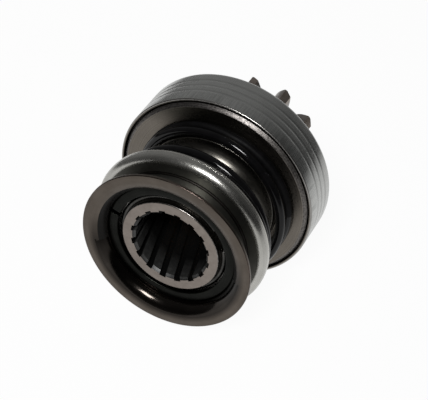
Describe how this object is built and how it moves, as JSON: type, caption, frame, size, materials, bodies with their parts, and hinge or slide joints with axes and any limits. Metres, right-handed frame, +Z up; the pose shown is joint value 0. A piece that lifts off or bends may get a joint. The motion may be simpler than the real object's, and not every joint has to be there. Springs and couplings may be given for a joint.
{
  "type": "starter drive",
  "caption": "Starter-motor drive: a grooved shift collar and coil spring on a splined sleeve, and a roller clutch in a steel drum that turns a toothed pinion.",
  "frame": {"origin": "on the axis, at the centre of the pinion's nose face", "axes": "+Y along the axis from the shift collar to the pinion's nose, +Z up as the drive lies on its drum"},
  "size_m": [0.0522, 0.056, 0.0522],
  "materials": {
    "forged_steel": "satin",
    "drum_steel": "satin",
    "plain_steel": "satin",
    "seal_rubber": "matte",
    "bronze": "satin",
    "pinion_steel": "satin",
    "spring_steel": "gloss",
    "collar_steel": "satin",
    "plated_steel": "satin",
    "roller_steel": "polished"
  },
  "bodies": {
    "clutch": {"clutch_body": "forged_steel", "drum_shell": "drum_steel", "roller_cover": "plain_steel", "seal_ring": "seal_rubber", "thrust_washer": "bronze", "stop_washer": "plain_steel", "snap_ring": "plain_steel", "meshing_spring": "spring_steel", "roller_spring_1": "plain_steel", "roller_spring_2": "plain_steel", "roller_spring_3": "plain_steel", "roller_spring_4": "plain_steel", "roller_spring_5": "plain_steel"},
    "guide": {"guide_bush": "forged_steel", "spring_plate": "plated_steel"},
    "collar": {"shift_collar": "collar_steel", "split_ring": "plain_steel"},
    "pinion": {"pinion": "pinion_steel", "nose_bush": "bronze", "shank_bush": "bronze", "lock_halves": "plain_steel"},
    "roller_1": {"roller_1": "roller_steel"},
    "roller_2": {"roller_2": "roller_steel"},
    "roller_3": {"roller_3": "roller_steel"},
    "roller_4": {"roller_4": "roller_steel"},
    "roller_5": {"roller_5": "roller_steel"},
    "plunger_1": {"plunger_1": "plain_steel"},
    "plunger_2": {"plunger_2": "plain_steel"},
    "plunger_3": {"plunger_3": "plain_steel"},
    "plunger_4": {"plunger_4": "plain_steel"},
    "plunger_5": {"plunger_5": "plain_steel"}
  },
  "joints": [
    {"name": "collar_slide", "type": "slide", "parent": "clutch", "child": "guide", "axis": [0, 1, 0], "range_m": [0, 0.007], "stiffness_N_per_m": 2500, "springref_m": -0.008, "deforming": ["meshing_spring"]},
    {"name": "collar_turn", "type": "hinge", "parent": "guide", "child": "collar", "pos_m": [0, -0.051, 0], "axis": [0, 1, 0], "continuous": true},
    {"name": "pinion_overrun", "type": "hinge", "parent": "clutch", "child": "pinion", "pos_m": [0, -0.0231, 0], "axis": [0, 1, 0], "continuous": true},
    {"name": "roller_1_spin", "type": "hinge", "parent": "clutch", "child": "roller_1", "pos_m": [0.0153, -0.0231, 0], "axis": [0, 1, 0], "continuous": true},
    {"name": "roller_2_spin", "type": "hinge", "parent": "clutch", "child": "roller_2", "pos_m": [0.00473, -0.0231, -0.01455], "axis": [0, 1, 0], "continuous": true},
    {"name": "roller_3_spin", "type": "hinge", "parent": "clutch", "child": "roller_3", "pos_m": [-0.01238, -0.0231, -0.00899], "axis": [0, 1, 0], "continuous": true},
    {"name": "roller_4_spin", "type": "hinge", "parent": "clutch", "child": "roller_4", "pos_m": [-0.01238, -0.0231, 0.00899], "axis": [0, 1, 0], "continuous": true},
    {"name": "roller_5_spin", "type": "hinge", "parent": "clutch", "child": "roller_5", "pos_m": [0.00473, -0.0231, 0.01455], "axis": [0, 1, 0], "continuous": true},
    {"name": "plunger_1_slide", "type": "slide", "parent": "clutch", "child": "plunger_1", "axis": [0, 0, -1], "range_m": [0, 0.0006], "stiffness_N_per_m": 100, "springref_m": -0.002, "deforming": ["roller_spring_1"]},
    {"name": "plunger_2_slide", "type": "slide", "parent": "clutch", "child": "plunger_2", "axis": [-0.9511, 0, -0.309], "range_m": [0, 0.0006], "stiffness_N_per_m": 100, "springref_m": -0.002, "deforming": ["roller_spring_2"]},
    {"name": "plunger_3_slide", "type": "slide", "parent": "clutch", "child": "plunger_3", "axis": [-0.5878, 0, 0.809], "range_m": [0, 0.0006], "stiffness_N_per_m": 100, "springref_m": -0.002, "deforming": ["roller_spring_3"]},
    {"name": "plunger_4_slide", "type": "slide", "parent": "clutch", "child": "plunger_4", "axis": [0.5878, 0, 0.809], "range_m": [0, 0.0006], "stiffness_N_per_m": 100, "springref_m": -0.002, "deforming": ["roller_spring_4"]},
    {"name": "plunger_5_slide", "type": "slide", "parent": "clutch", "child": "plunger_5", "axis": [0.9511, 0, -0.309], "range_m": [0, 0.0006], "stiffness_N_per_m": 100, "springref_m": -0.002, "deforming": ["roller_spring_5"]}
  ],
  "couplings": [
    {"joint": "roller_1_spin", "follows": "pinion_overrun", "ratio": -3.6923},
    {"joint": "roller_2_spin", "follows": "pinion_overrun", "ratio": -3.6923},
    {"joint": "roller_3_spin", "follows": "pinion_overrun", "ratio": -3.6923},
    {"joint": "roller_4_spin", "follows": "pinion_overrun", "ratio": -3.6923},
    {"joint": "roller_5_spin", "follows": "pinion_overrun", "ratio": -3.6923},
    {"joint": "plunger_2_slide", "follows": "plunger_1_slide", "ratio": 1},
    {"joint": "plunger_3_slide", "follows": "plunger_1_slide", "ratio": 1},
    {"joint": "plunger_4_slide", "follows": "plunger_1_slide", "ratio": 1},
    {"joint": "plunger_5_slide", "follows": "plunger_1_slide", "ratio": 1}
  ]
}
